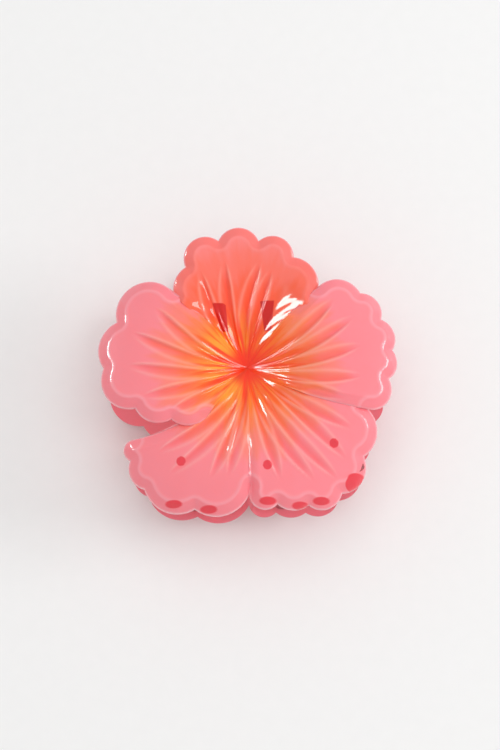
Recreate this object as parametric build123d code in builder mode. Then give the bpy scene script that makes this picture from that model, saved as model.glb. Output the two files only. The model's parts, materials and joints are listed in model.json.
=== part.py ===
"""Hibiscus claw hair clip: two mirror-image flower jaws that turn on a steel pin.

Millimetres.  The clip is built about the middle of its flower, with z = 0 on the plane between
the jaws, +Y towards the squeeze handle (the top petal) and +Z out of the front jaw.  At the end
every piece is moved together, so that the clip lies on its rear jaw with the origin on the
surface below the middle of its outline.
"""
from build123d import *
import math
import os

# ---- petals: how far each reaches from the middle of the flower ----
TOP_REACH = 36.3
LEFT_REACH = 39.4
RIGHT_REACH = 39.9
LOWER_LEFT_REACH = 43.9
LOWER_RIGHT_REACH = 42.8
HUB_RADIUS = 6.0              # disc at the middle that all five petals run into

# ---- petals: heights of the outer face above the plane between the jaws ----
THROAT_HEIGHT = 9.5           # middle of the flower, its lowest point
BULGE_HEIGHT = 19.0           # highest ring of the side and lower petals
BULGE_RADIUS = 22.0           # where that ring is
RIM_DROP = 4.5                # fall from the bulge to the rim
RIM_RADIUS = 40.0             # where that fall is measured
HANDLE_TIP_HEIGHT = 19.5      # tip of the top petal, level with the side petals' bulge
HANDLE_FLARE = 0.9            # below 1 the top petal climbs fastest near the middle
SIDE_LIFT = 0.5               # side petals lie this much above the mean height,
LOWER_LIFT = -1.2             # and the lower petals, which tuck under them, this much below
SHELL = 2.4                   # wall of every petal
PROFILE_MARGIN = 1.04         # the shells' profiles run this much past the longest petal

# ---- cheeks: walls that close the step from the sunken top petal to its neighbours ----
CHEEK_ANGLES = (46.5, 136.5)  # degrees from +X, the edges of the side petals
CHEEK_START = 3.0
CHEEK_END = 25.5
CHEEK_POINTS = 5              # on each of a cheek's two splines
CHEEK_WALL = 2.4

# ---- hinge ----
HINGE_X = -0.9                # middle of the hinge, along the pin
HINGE_Y = 13.0                # the pin's distance above the middle of the flower
PIN_DIAMETER = 2.0
PIN_RUNNING_CLEARANCE = 0.05  # radial, in the front ears, which turn on the pin
PIN_STAND_OUT = 0.5           # plain end beyond the outer ear
PIN_HEAD_DIAMETER = 3.4
PIN_HEAD_HEIGHT = 0.9
PIN_HEAD_ROUND = 0.63         # radius of the head's rounded edge
EAR_WALL = 3.0
EAR_RADIUS = 4.0              # round end of an ear, about the pin
EAR_SIDE_PLAY = 0.2           # between a front ear and the rear ear beside it

# ---- torsion spring ----
WIRE_DIAMETER = 1.1
COIL_RADIUS = 2.6             # to the middle of the wire
COIL_WHOLE_TURNS = 6
COIL_GAP = 0.1                # free space between turns
LEG_SIDE_CLEARANCE = 0.065    # between a leg and the front ear it passes
FOOT_START = 8.6              # where a leg bends flat, ahead of the pin
FOOT_LENGTH = 5.2
FOOT_CLEARANCE = 0.15         # between the wire and the handle's inner face

# ---- spring seats: two ribs beside each foot ----
RIB_WALL = 1.0
RIB_HEIGHT = 1.4
RIB_CLEARANCE = 0.2

# ---- claw teeth ----
TOOTH_PASS = 5.0              # how far the tips go past the plane between the jaws
TOOTH_ROOT = (2.2, 1.5)       # half width across the mouth, half depth
TOOTH_TIP = (1.0, 0.75)
TOOTH_CURL = 3.6              # the tip leans this far towards the hinge
TOOTH_BLUNTNESS = 0.97        # nearer 1 rounds the tip more
TOOTH_ROUNDING_POWER = 10     # higher keeps the taper straight for longer before the tip
TOOTH_SECTIONS = (0.0, 0.35, 0.65, 0.85, 0.95, 1.0)
# Each tooth: its place across the mouth, and its root's share of the way to the petal's reach.
FRONT_TEETH_LEFT = ((-19.0, 0.88), (-9.9, 0.83))
FRONT_TEETH_RIGHT = ((5.4, 0.78), (13.9, 0.86), (19.3, 0.89), (28.4, 0.91))
REAR_TEETH_LEFT = ((-24.5, 0.88), (-14.5, 0.86), (-4.6, 0.80))
REAR_TEETH_RIGHT = ((9.7, 0.83), (23.9, 0.91))

# ---- ejector marks: small round pads on the inner face of the lower petals ----
PAD_RADIUS = 1.2
PAD_HEIGHT = 0.4
PADS = ((-17.0, -25.7), (5.3, -26.7), (22.5, -21.0))

# ---- petal outlines ----
# Degrees from +X and share of the petal's reach: a notch, then the crest of a lobe and the next
# notch in turn.  A lobe is one arc from notch to notch through its crest.
TOP_RIM = (
    (43.9, 0.686), (55.3, 0.851), (66.5, 0.857), (74.9, 0.959), (84.6, 0.909), (93.4, 1.000),
    (103.0, 0.928), (113.0, 0.986), (122.3, 0.841), (129.4, 0.817), (137.5, 0.712),
)
LEFT_RIM = (
    (136.0, 0.685), (142.8, 0.910), (161.9, 0.916), (171.6, 1.000), (181.5, 0.956),
    (193.0, 0.962), (202.3, 0.796), (212.0, 0.743), (217.6, 0.624), (227.0, 0.576),
    (234.1, 0.447),
)
RIGHT_RIM = (
    (47.1, 0.688), (42.3, 0.842), (32.5, 0.890), (27.4, 0.960), (18.9, 0.938), (11.9, 1.000),
    (5.9, 0.965), (0.4, 0.991), (-5.8, 0.937), (-13.6, 0.963), (-20.6, 0.858),
)
LOWER_LEFT_RIM = (
    (213.4, 0.820), (214.0, 0.883), (219.4, 0.901), (223.6, 0.962), (230.4, 0.959),
    (238.8, 1.000), (250.2, 0.913), (260.0, 0.914), (272.3, 0.733),
)
LOWER_RIGHT_RIM = (
    (271.2, 0.751), (274.6, 0.878), (282.3, 0.871), (287.5, 0.930), (293.7, 0.934),
    (298.3, 1.000), (306.6, 0.974), (315.4, 0.998), (321.9, 0.907), (331.5, 0.906),
    (340.5, 0.745),
)
LOWER_LEFT_BOW = 4.0          # hollow of the lower-left petal's free upper edge
RIGHT_BOW = 2.4               # fullness of the right petal's free lower edge

# ---- worked out from the values above ----
PROFILE_POINTS = 9
LONGEST_REACH = max(LEFT_REACH, RIGHT_REACH, LOWER_LEFT_REACH, LOWER_RIGHT_REACH)
PROFILE_REACH = PROFILE_MARGIN * LONGEST_REACH
TALLEST = 2 * max(BULGE_HEIGHT, HANDLE_TIP_HEIGHT)
MID_PLANE = Plane.XY


def bulge_height(radius):
    """Outer face of the side and lower petals: a sine rise to the bulge, then a square fall."""
    if radius < BULGE_RADIUS:
        rise = math.sin(math.pi / 2 * radius / BULGE_RADIUS)
        return THROAT_HEIGHT + (BULGE_HEIGHT - THROAT_HEIGHT) * rise
    return BULGE_HEIGHT - RIM_DROP * ((radius - BULGE_RADIUS) / (RIM_RADIUS - BULGE_RADIUS)) ** 2


def handle_height(radius):
    """Outer face of the top petal: a flared climb from the throat to its tip."""
    climb = (radius / TOP_REACH) ** HANDLE_FLARE
    return THROAT_HEIGHT + (HANDLE_TIP_HEIGHT - THROAT_HEIGHT) * climb


def at(angle, radius):
    """The point of the flower's plane at an angle from +X and a distance from its middle."""
    return (radius * math.cos(math.radians(angle)), radius * math.sin(math.radians(angle)))


def petal_face(reach, rim, first_bow=0.0, last_bow=0.0):
    """One petal seen from the front: two side edges from the middle, and a rim of round lobes."""
    points = [at(angle, share * reach) for angle, share in rim]
    with BuildSketch() as petal:
        with BuildLine():
            if first_bow:
                SagittaArc((0, 0), points[0], first_bow)
            else:
                Line((0, 0), points[0])
            for notch in range(0, len(points) - 1, 2):
                ThreePointArc(points[notch], points[notch + 1], points[notch + 2])
            if last_bow:
                SagittaArc(points[-1], (0, 0), last_bow)
            else:
                Line(points[-1], (0, 0))
        make_face()
    return petal.sketch


def petal_layer(petals, height_at, lift, reach):
    """A dished shell of revolution, cut to the outlines of the petals that share its height."""
    radii = [reach * step / (PROFILE_POINTS - 1) for step in range(PROFILE_POINTS)]
    outer = [(radius, height_at(radius) + lift) for radius in radii]
    inner = [(radius, height - SHELL) for radius, height in outer]
    with BuildPart() as layer:
        with BuildSketch(Plane.XZ):
            with BuildLine():
                Spline(*outer)
                Line(outer[-1], inner[-1])
                Spline(*reversed(inner))
                Line(inner[0], outer[0])
            make_face()
        revolve(axis=Axis.Z)
        with BuildSketch():
            Circle(HUB_RADIUS)
            for petal in petals:
                add(petal)
        extrude(amount=TALLEST, mode=Mode.INTERSECT)
    return layer.part


def cheek(angle, into_petal):
    """A standing wall under a side petal's edge, from the top petal's shell up to the side's."""
    length = CHEEK_END - CHEEK_START
    steps = CHEEK_POINTS - 1
    radii = [CHEEK_START + length * step / steps for step in range(CHEEK_POINTS)]
    upper = [(radius, bulge_height(radius) + SIDE_LIFT - SHELL / 2) for radius in radii]
    lower = [(radius, handle_height(radius) - SHELL / 2) for radius in radii]
    along = Vector(*at(angle, 1.0), 0)
    wall_plane = Plane(origin=(0, 0, 0), x_dir=along, z_dir=along.cross(Vector(0, 0, 1)))
    with BuildPart() as wall:
        with BuildSketch(wall_plane):
            with BuildLine():
                Spline(*upper)
                Line(upper[-1], lower[-1])
                Spline(*reversed(lower))
                Line(lower[0], upper[0])
            make_face()
        extrude(amount=into_petal * CHEEK_WALL)
    return wall.part


def spring_leg_points():
    """Front leg in the hinge's own plane: touch point on the coil, knee, and end of the foot."""
    knee_y = FOOT_START
    end_y = FOOT_START + FOOT_LENGTH
    below_face = SHELL + WIRE_DIAMETER / 2 + FOOT_CLEARANCE
    knee = (knee_y, handle_height(HINGE_Y + knee_y) - below_face)
    end = (end_y, handle_height(HINGE_Y + end_y) - below_face)
    distance = math.hypot(*knee)
    touch_angle = math.atan2(knee[1], knee[0]) + math.acos(COIL_RADIUS / distance)
    touch = (COIL_RADIUS * math.cos(touch_angle), COIL_RADIUS * math.sin(touch_angle))
    return math.degrees(touch_angle), touch, knee, end


# A leg leaves the coil along the helix, so it drifts outwards along the pin until its knee.
TOUCH_ANGLE, LEG_TOUCH, LEG_KNEE, LEG_END = spring_leg_points()
COIL_TURNS = COIL_WHOLE_TURNS + (360.0 - 2 * TOUCH_ANGLE) / 360.0
COIL_PITCH = WIRE_DIAMETER + COIL_GAP
COIL_LENGTH = COIL_TURNS * COIL_PITCH
COIL_SLOPE = COIL_PITCH / (2 * math.pi * COIL_RADIUS)
LEG_OFFSET = COIL_LENGTH / 2
LEG_LENGTH = math.dist(LEG_TOUCH, LEG_KNEE)
FOOT_OFFSET = LEG_OFFSET + COIL_SLOPE * LEG_LENGTH

# The front ears stand just clear of the legs, where these pass the ears' straight edges.
SHARE_BESIDE_EAR = (EAR_RADIUS - LEG_TOUCH[0]) / (LEG_KNEE[0] - LEG_TOUCH[0])
OFFSET_AT_EAR = LEG_OFFSET + COIL_SLOPE * LEG_LENGTH * SHARE_BESIDE_EAR
FRONT_EAR_INSIDE = OFFSET_AT_EAR + WIRE_DIAMETER / 2 + LEG_SIDE_CLEARANCE
REAR_EAR_INSIDE = FRONT_EAR_INSIDE + EAR_WALL + EAR_SIDE_PLAY
REAR_EAR_OUTSIDE = REAR_EAR_INSIDE + EAR_WALL


def ear_plates(first_x, hole_radius):
    """A pair of hinge ears under the front handle, bored for the pin."""
    back_y = HINGE_Y - EAR_RADIUS
    front_y = HINGE_Y + EAR_RADIUS
    middle_x = first_x + EAR_WALL / 2
    back_top = handle_height(math.hypot(middle_x, back_y)) - SHELL / 2
    front_top = handle_height(math.hypot(middle_x, front_y)) - SHELL / 2
    with BuildPart() as ears:
        for start_x in (HINGE_X + first_x, HINGE_X - first_x - EAR_WALL):
            with BuildSketch(Plane.YZ.offset(start_x)):
                with BuildLine():
                    Polyline((front_y, 0), (front_y, front_top), (back_y, back_top), (back_y, 0))
                    ThreePointArc((back_y, 0), (HINGE_Y, -EAR_RADIUS), (front_y, 0))
                make_face()
                with Locations((HINGE_Y, 0)):
                    Circle(hole_radius, mode=Mode.SUBTRACT)
            extrude(amount=EAR_WALL)
    return ears.part


def seat_ribs(foot_x):
    """Two ribs on the front handle's inner face, one on each side of the spring's foot."""
    near_y = HINGE_Y + FOOT_START
    far_y = near_y + FOOT_LENGTH
    near_face = handle_height(near_y) - SHELL
    far_face = handle_height(far_y) - SHELL
    offset = WIRE_DIAMETER / 2 + RIB_CLEARANCE
    with BuildPart() as ribs:
        for start_x in (foot_x + offset, foot_x - offset - RIB_WALL):
            with BuildSketch(Plane.YZ.offset(start_x)):
                with BuildLine():
                    Polyline(
                        (near_y, near_face - RIB_HEIGHT), (far_y, far_face - RIB_HEIGHT),
                        (far_y, far_face + SHELL / 2), (near_y, near_face + SHELL / 2),
                        close=True,
                    )
                make_face()
            extrude(amount=RIB_WALL)
    return ribs.part


def tooth(x, radius):
    """A tapered claw tooth hanging from a lower petal, curling towards the hinge at its tip."""
    root_y = -math.sqrt(radius ** 2 - x ** 2)
    root_z = bulge_height(radius) + LOWER_LIFT - SHELL / 2
    tip_z = -TOOTH_PASS
    with BuildPart() as claw:
        for share in TOOTH_SECTIONS:
            level = root_z + (tip_z - root_z) * share
            lean = TOOTH_CURL * share ** 2
            rounding = math.sqrt(1 - (TOOTH_BLUNTNESS * share) ** TOOTH_ROUNDING_POWER)
            half_width = (TOOTH_ROOT[0] + (TOOTH_TIP[0] - TOOTH_ROOT[0]) * share) * rounding
            half_depth = (TOOTH_ROOT[1] + (TOOTH_TIP[1] - TOOTH_ROOT[1]) * share) * rounding
            with BuildSketch(Plane.XY.offset(level)):
                with Locations((x, root_y + lean)):
                    Ellipse(half_width, half_depth)
        loft()
    return claw.part


def teeth(rows):
    """All the teeth of one jaw, from (places, petal reach) for each lower petal."""
    return [tooth(x, share * reach) for places, reach in rows for x, share in places]


def ejector_pads():
    """Round pads that stand a little proud of the lower petals' inner face."""
    with BuildPart() as pads:
        for x, y in PADS:
            face = bulge_height(math.hypot(x, y)) + LOWER_LIFT - SHELL
            with BuildSketch(Plane.XY.offset(face - PAD_HEIGHT)):
                with Locations((x, y)):
                    Circle(PAD_RADIUS)
            extrude(amount=PAD_HEIGHT + SHELL / 2)
    return pads.part


# ---- the five petals of one jaw, as the front jaw has them ----
top_petal = petal_face(TOP_REACH, TOP_RIM)
left_petal = petal_face(LEFT_REACH, LEFT_RIM)
right_petal = petal_face(RIGHT_REACH, RIGHT_RIM, last_bow=RIGHT_BOW)
lower_left_petal = petal_face(LOWER_LEFT_REACH, LOWER_LEFT_RIM, first_bow=LOWER_LEFT_BOW)
lower_right_petal = petal_face(LOWER_RIGHT_REACH, LOWER_RIGHT_RIM)

flower_shells = (
    petal_layer((left_petal, right_petal), bulge_height, SIDE_LIFT, PROFILE_REACH),
    petal_layer((lower_left_petal, lower_right_petal), bulge_height, LOWER_LIFT, PROFILE_REACH),
    petal_layer((top_petal,), handle_height, 0.0, PROFILE_MARGIN * TOP_REACH),
    cheek(CHEEK_ANGLES[0], 1),
    cheek(CHEEK_ANGLES[1], -1),
    ejector_pads(),
)

# ---- front jaw: its ears turn on the pin, inside the rear jaw's ears ----
front_ears = ear_plates(FRONT_EAR_INSIDE, PIN_DIAMETER / 2 + PIN_RUNNING_CLEARANCE)
front_ribs = seat_ribs(HINGE_X + FOOT_OFFSET)
front_teeth = teeth(
    ((FRONT_TEETH_LEFT, LOWER_LEFT_REACH), (FRONT_TEETH_RIGHT, LOWER_RIGHT_REACH))
)
with BuildPart() as front_petal_jaw:
    add(flower_shells)
    add(front_ears)
    add(front_ribs)
    add(front_teeth)

# ---- rear jaw: the same flower seen in the plane between the jaws, with its own fittings ----
rear_ears = ear_plates(REAR_EAR_INSIDE, PIN_DIAMETER / 2)
rear_ribs = seat_ribs(HINGE_X - FOOT_OFFSET)
rear_teeth = teeth(((REAR_TEETH_LEFT, LOWER_LEFT_REACH), (REAR_TEETH_RIGHT, LOWER_RIGHT_REACH)))
with BuildPart() as rear_petal_jaw:
    add(flower_shells)
    add(rear_ears)
    add(rear_ribs)
    add(rear_teeth)
    mirror(about=MID_PLANE, mode=Mode.REPLACE)

# ---- hinge pin: a plain shank with a domed head, pressed into the rear ears ----
PIN_START = HINGE_X - REAR_EAR_OUTSIDE - PIN_STAND_OUT
PIN_END = HINGE_X + REAR_EAR_OUTSIDE
with BuildPart() as hinge_pin:
    with BuildSketch(Plane.YZ.offset(PIN_START)):
        with Locations((HINGE_Y, 0)):
            Circle(PIN_DIAMETER / 2)
    extrude(amount=PIN_END - PIN_START)
    with BuildSketch(Plane.YZ.offset(PIN_END)):
        with Locations((HINGE_Y, 0)):
            Circle(PIN_HEAD_DIAMETER / 2)
    extrude(amount=PIN_HEAD_HEIGHT)
    fillet(hinge_pin.edges().sort_by(Axis.X)[-1:], radius=PIN_HEAD_ROUND)

# ---- torsion spring: a coil round the pin, with a bent leg to each handle ----
with BuildPart() as coil:
    with BuildLine() as coil_path:
        Helix(pitch=COIL_PITCH, height=COIL_LENGTH, radius=COIL_RADIUS, lefthand=True)
    with BuildSketch(Plane(origin=coil_path.line @ 0, z_dir=coil_path.line % 0)):
        Circle(WIRE_DIAMETER / 2)
    sweep(path=coil_path.line, is_frenet=True)

# The coil lies along the pin, from the front leg at its right-hand end to the rear leg.
coil_plane = Plane(
    origin=(HINGE_X + LEG_OFFSET, HINGE_Y, 0),
    x_dir=(0, LEG_TOUCH[0], LEG_TOUCH[1]),
    z_dir=(-1, 0, 0),
)
placed_coil = coil_plane * coil.part
with BuildPart() as torsion_spring:
    add(placed_coil)
    for side in (1, -1):
        touch = Vector(HINGE_X + side * LEG_OFFSET, HINGE_Y + LEG_TOUCH[0], side * LEG_TOUCH[1])
        knee = Vector(HINGE_X + side * FOOT_OFFSET, HINGE_Y + LEG_KNEE[0], side * LEG_KNEE[1])
        end = Vector(HINGE_X + side * FOOT_OFFSET, HINGE_Y + LEG_END[0], side * LEG_END[1])
        with BuildLine() as leg:
            FilletPolyline(touch, knee, end, radius=2 * WIRE_DIAMETER)
        with BuildSketch(Plane(origin=touch, z_dir=knee - touch)):
            Circle(WIRE_DIAMETER / 2)
        sweep(path=leg.line)

# ---- place the clip on the surface and write one file for each piece ----
os.makedirs("parts", exist_ok=True)
pieces = {
    "front_petal_jaw": front_petal_jaw.part,
    "rear_petal_jaw": rear_petal_jaw.part,
    "hinge_pin": hinge_pin.part,
    "torsion_spring": torsion_spring.part,
}
clip_box = Compound(list(pieces.values())).bounding_box()
to_surface = Pos(-clip_box.center().X, -clip_box.center().Y, -clip_box.min.Z)
print("moved by", to_surface.position)
print("clip size", clip_box.size)
print("hinge at", to_surface.position + Vector(HINGE_X, HINGE_Y, 0))
print("front ears at", FRONT_EAR_INSIDE, "feet at", FOOT_OFFSET, "legs at", LEG_OFFSET)
for name, piece in pieces.items():
    placed = to_surface * piece
    placed.label = name
    export_step(placed, f"parts/{name}.step")
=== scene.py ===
# %% [markdown]
# # A hibiscus claw hair clip
# Two flower-shaped jaws, one the mirror image of the other, turn on a steel pin and are held
# shut by a torsion spring.  The CAD frame gives the sizes, the hinge and the bodies.  This
# lesson replaces the plain CAD jaws with veined, bevelled petals, and finishes every piece.

# %% Load the frame
import bmesh
import bpy
import json
import math
import numpy as np
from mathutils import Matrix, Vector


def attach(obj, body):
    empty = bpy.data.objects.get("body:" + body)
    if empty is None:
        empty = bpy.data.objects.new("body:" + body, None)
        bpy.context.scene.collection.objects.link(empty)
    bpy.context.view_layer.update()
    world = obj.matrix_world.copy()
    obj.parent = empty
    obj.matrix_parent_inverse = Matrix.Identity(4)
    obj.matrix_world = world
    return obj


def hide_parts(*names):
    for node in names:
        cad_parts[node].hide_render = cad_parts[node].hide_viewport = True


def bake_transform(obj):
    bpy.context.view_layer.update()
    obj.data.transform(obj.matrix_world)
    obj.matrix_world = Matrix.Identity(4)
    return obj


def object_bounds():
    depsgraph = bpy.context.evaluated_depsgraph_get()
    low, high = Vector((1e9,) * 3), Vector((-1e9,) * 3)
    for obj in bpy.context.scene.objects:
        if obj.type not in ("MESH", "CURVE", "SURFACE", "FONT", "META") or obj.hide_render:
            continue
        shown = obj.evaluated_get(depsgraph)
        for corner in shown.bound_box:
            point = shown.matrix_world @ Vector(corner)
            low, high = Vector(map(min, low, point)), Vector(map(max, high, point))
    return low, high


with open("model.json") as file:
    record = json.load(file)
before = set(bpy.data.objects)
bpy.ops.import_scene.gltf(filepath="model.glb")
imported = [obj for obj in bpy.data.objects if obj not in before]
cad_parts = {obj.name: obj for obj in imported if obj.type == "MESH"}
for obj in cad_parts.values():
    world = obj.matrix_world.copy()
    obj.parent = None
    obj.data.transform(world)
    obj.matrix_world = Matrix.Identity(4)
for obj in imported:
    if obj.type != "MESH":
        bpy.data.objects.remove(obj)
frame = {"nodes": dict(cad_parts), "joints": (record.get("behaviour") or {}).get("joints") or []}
cad_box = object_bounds()
print("CAD box", [[round(value, 4) for value in corner] for corner in cad_box])

# %% [markdown]
# All shapes below are worked out in millimetres about the middle of the flower, with z = 0 on
# the plane between the jaws.  The hinge joint says where that is in the frame.

# %% Where the flower's middle is
MM = 0.001
HINGE_X = -0.9
HINGE_Y = 13.0
hinge_point = np.array(frame["joints"][0]["pos_m"])
flower_middle = hinge_point - MM * np.array([HINGE_X, HINGE_Y, 0.0])
print("flower's middle, in metres", flower_middle.round(5))

# %% [markdown]
# The sizes repeat those of the CAD model.  A petal's rim is a row of round lobes: notch, crest,
# notch, and so on, each as degrees from +X and a share of how far the petal reaches.

# %% Sizes of the flower
SHELL = 2.4
THROAT_HEIGHT = 9.5
BULGE_HEIGHT = 19.0
BULGE_RADIUS = 22.0
RIM_DROP = 4.5
RIM_RADIUS = 40.0
HANDLE_TIP_HEIGHT = 19.5
HANDLE_FLARE = 0.9
SIDE_LIFT = 0.5
LOWER_LIFT = -1.2

TOP = {
    "reach": 36.3, "lift": 0.0, "bows": (0.0, 0.0), "free": (False, False),
    "rim": (
        (43.9, 0.686), (55.3, 0.851), (66.5, 0.857), (74.9, 0.959), (84.6, 0.909), (93.4, 1.000),
        (103.0, 0.928), (113.0, 0.986), (122.3, 0.841), (129.4, 0.817), (137.5, 0.712),
    ),
    "veins": (
        (75.9, 86.0, 25.9), (82.9, 104.0, 27.7), (102.6, 118.0, 28.1), (116.9, 138.0, 27.7),
    ),
}
LEFT = {
    "reach": 39.4, "lift": SIDE_LIFT, "bows": (-0.8, 0.0), "free": (True, True),
    "rim": (
        (136.0, 0.685), (142.8, 0.910), (161.9, 0.916), (171.6, 1.000), (181.5, 0.956),
        (193.0, 0.962), (202.3, 0.796), (212.0, 0.743), (217.6, 0.624), (227.0, 0.576),
        (234.1, 0.447),
    ),
    "veins": (
        (149.3, 178.0, 28.3), (165.6, 187.7, 31.5), (181.7, 202.3, 31.4), (198.9, 213.4, 28.8),
        (214.1, 229.0, 23.9),
    ),
}
RIGHT = {
    "reach": 39.9, "lift": SIDE_LIFT, "bows": (0.8, -2.4), "free": (True, True),
    "rim": (
        (47.1, 0.688), (42.3, 0.842), (32.5, 0.890), (27.4, 0.960), (18.9, 0.938), (11.9, 1.000),
        (5.9, 0.965), (0.4, 0.991), (-5.8, 0.937), (-13.6, 0.963), (-20.6, 0.858),
    ),
    "veins": (
        (36.0, 20.3, 28.3), (23.4, 2.0, 30.6), (8.6, -7.9, 30.3), (-7.0, -24.4, 30.4),
        (-20.2, -29.9, 27.8),
    ),
}
LOWER_LEFT = {
    "reach": 43.9, "lift": LOWER_LIFT, "bows": (4.0, 0.0), "free": (True, False),
    "rim": (
        (213.4, 0.820), (214.0, 0.883), (219.4, 0.901), (223.6, 0.962), (230.4, 0.959),
        (238.8, 1.000), (250.2, 0.913), (260.0, 0.914), (272.3, 0.733),
    ),
    "veins": (
        (225.4, 258.0, 33.3), (235.1, 268.0, 36.0), (252.7, 269.0, 32.0), (260.8, 270.6, 30.5),
    ),
}
LOWER_RIGHT = {
    "reach": 42.8, "lift": LOWER_LIFT, "bows": (0.0, 0.0), "free": (False, False),
    "rim": (
        (271.2, 0.751), (274.6, 0.878), (282.3, 0.871), (287.5, 0.930), (293.7, 0.934),
        (298.3, 1.000), (306.6, 0.974), (315.4, 0.998), (321.9, 0.907), (331.5, 0.906),
        (340.5, 0.745),
    ),
    "veins": (
        (285.9, 283.6, 31.8), (299.8, 280.0, 35.4), (308.2, 292.0, 38.7), (316.1, 316.0, 36.3),
        (328.1, 316.0, 32.7),
    ),
}
PETALS = (TOP, LEFT, RIGHT, LOWER_LEFT, LOWER_RIGHT)
print("petals reach", [petal["reach"] for petal in PETALS], "mm from the middle")

# %% [markdown]
# A lobe is the arc of a circle through three points.  Working the circle out once, as arrays,
# gives every rim with the same few lines.

# %% Rims from arcs
RIM_STEPS = 170


def at(angle, radius):
    """x = radius cos(angle) and y = radius sin(angle), the angle in degrees."""
    return np.stack([radius * np.cos(np.radians(angle)), radius * np.sin(np.radians(angle))], -1)


def arc_through(first, crest, last, steps):
    """The circle's centre is where the bisectors of first-crest and crest-last meet; the arc is
    centre + radius (cos a, sin a) as a runs evenly from the first point's angle to the last's."""
    sides = np.array([crest - first, last - crest])
    offsets = np.array([(crest @ crest - first @ first) / 2, (last @ last - crest @ crest) / 2])
    centre = np.linalg.solve(sides, offsets)
    spokes = np.array([first, crest, last]) - centre
    angles = np.unwrap(np.arctan2(spokes[:, 1], spokes[:, 0]))
    run = np.linspace(angles[0], angles[2], steps, endpoint=False)
    return centre + np.hypot(*spokes[0]) * np.stack([np.cos(run), np.sin(run)], -1)


def rim_line(petal):
    """All the lobes' arcs end to end, then the last notch."""
    table = np.array(petal["rim"])
    points = at(table[:, 0], table[:, 1] * petal["reach"])
    lobes = (len(points) - 1) // 2
    steps = RIM_STEPS // lobes
    arcs = [arc_through(*points[2 * lobe:2 * lobe + 3], steps) for lobe in range(lobes)]
    return np.concatenate(arcs + [points[-1:]])


print("lobes on each petal", [(len(petal["rim"]) - 1) // 2 for petal in PETALS])


# %% [markdown]
# Seen from the front, a petal is a fan of spokes from the flower's middle to its rim.  The
# spokes near a bowed side edge bow with it.  Points crowd together towards the rim, where the
# bevelled border needs them.

# %% The fan of a petal
SPOKE_STEPS = 46
CROWDING = 1.45


def petal_fan(petal):
    """point(u, v) = v rim(u) + 4 v (1 - v) bow(u) n(u), with n(u) the rim's direction turned by a
    quarter turn, bow(u) = first (1 - u)^2 + last u^2, and v = 1 - (1 - t)^1.45 for even t."""
    rim = rim_line(petal)
    u = np.linspace(0.0, 1.0, len(rim))[:, None]
    t = np.linspace(0.0, 1.0, SPOKE_STEPS)
    v = 1.0 - (1.0 - t) ** CROWDING
    first_bow, last_bow = petal["bows"]
    bow = first_bow * (1 - u) ** 2 + last_bow * u ** 2
    length = np.hypot(rim[:, 0], rim[:, 1])[:, None]
    quarter_turn = np.stack([-rim[:, 1], rim[:, 0]], -1) / length
    swing = 4 * v * (1 - v) * bow
    return v[None, :, None] * rim[:, None, :] + swing[:, :, None] * quarter_turn[:, None, :]


print("points on the top petal's fan", petal_fan(TOP).shape[:2])


# %% [markdown]
# The petal's face is a height for every point of that fan.  It is a smooth crown, a bevelled
# border that follows the free edges, raised veins that swirl into the throat, and on the top
# petal two flanks that climb to meet its neighbours.

# %% Heights of the petals
BORDER_WIDTH = 2.8
BORDER_DROP = 1.35
EDGE_ROUND = 0.5
BEAD_HEIGHT = 0.12
BEAD_WIDTH = 0.45
BORDER_STARTS = (12.0, 19.0)
EDGE_MELT = 6.0
INNER_VEIN_SHARE = 0.6
LIFT_STARTS = (7.0, 18.0)
SEAM_DEPTH = 0.7
SEAM_HALF_WIDTH = 2.2
GROOVE_DEPTH = 0.5
GROOVE_HALF_WIDTH = 1.5
RIDGE_HEIGHT = 0.14
FLANK_SLOPE = 0.16
FLANK_RIPPLE = 0.08
FLANK_SPAN = 19.5
FLANK_CREASE = 0.06
FLANK_ANGLES = (46.5, 136.0)
FLANK_ENDS = (21.0, 29.0)


def ramp(low, high, value):
    """0 below low, 1 above high, and 3 t^2 - 2 t^3 between."""
    t = np.clip((value - low) / (high - low), 0.0, 1.0)
    return t * t * (3 - 2 * t)


def distance_to_line(points, line):
    """For each point, the least distance to any stretch of the line: the point's foot on a
    stretch from a to b is a + clip((p - a).(b - a) / |b - a|^2, 0, 1) (b - a)."""
    a = line[:-1]
    along = line[1:] - a
    square = np.maximum((along ** 2).sum(-1), 1e-9)
    best = np.full(len(points), np.inf)
    for part in np.array_split(np.arange(len(points)), max(1, len(points) // 4000)):
        offset = points[part, None, :] - a[None]
        share = np.clip((offset * along).sum(-1) / square, 0.0, 1.0)
        gap = offset - share[:, :, None] * along
        best[part] = np.sqrt((gap ** 2).sum(-1).min(-1))
    return best


def edge_distance(petal, points):
    """Millimetres from the petal's free edges: its rim, and each side edge that isn't buried.
    Towards the throat the edges melt into the neighbours, so the distance grows by 6 mm there."""
    fan = petal_fan(petal)
    line = fan[:, -1]
    if petal["free"][0]:
        line = np.concatenate([fan[0, ::3], line])
    if petal["free"][1]:
        line = np.concatenate([line, fan[-1, ::-3]])
    melt = 1 - ramp(*BORDER_STARTS, np.hypot(points[:, 0], points[:, 1]))
    return distance_to_line(points, line) + EDGE_MELT * melt


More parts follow.
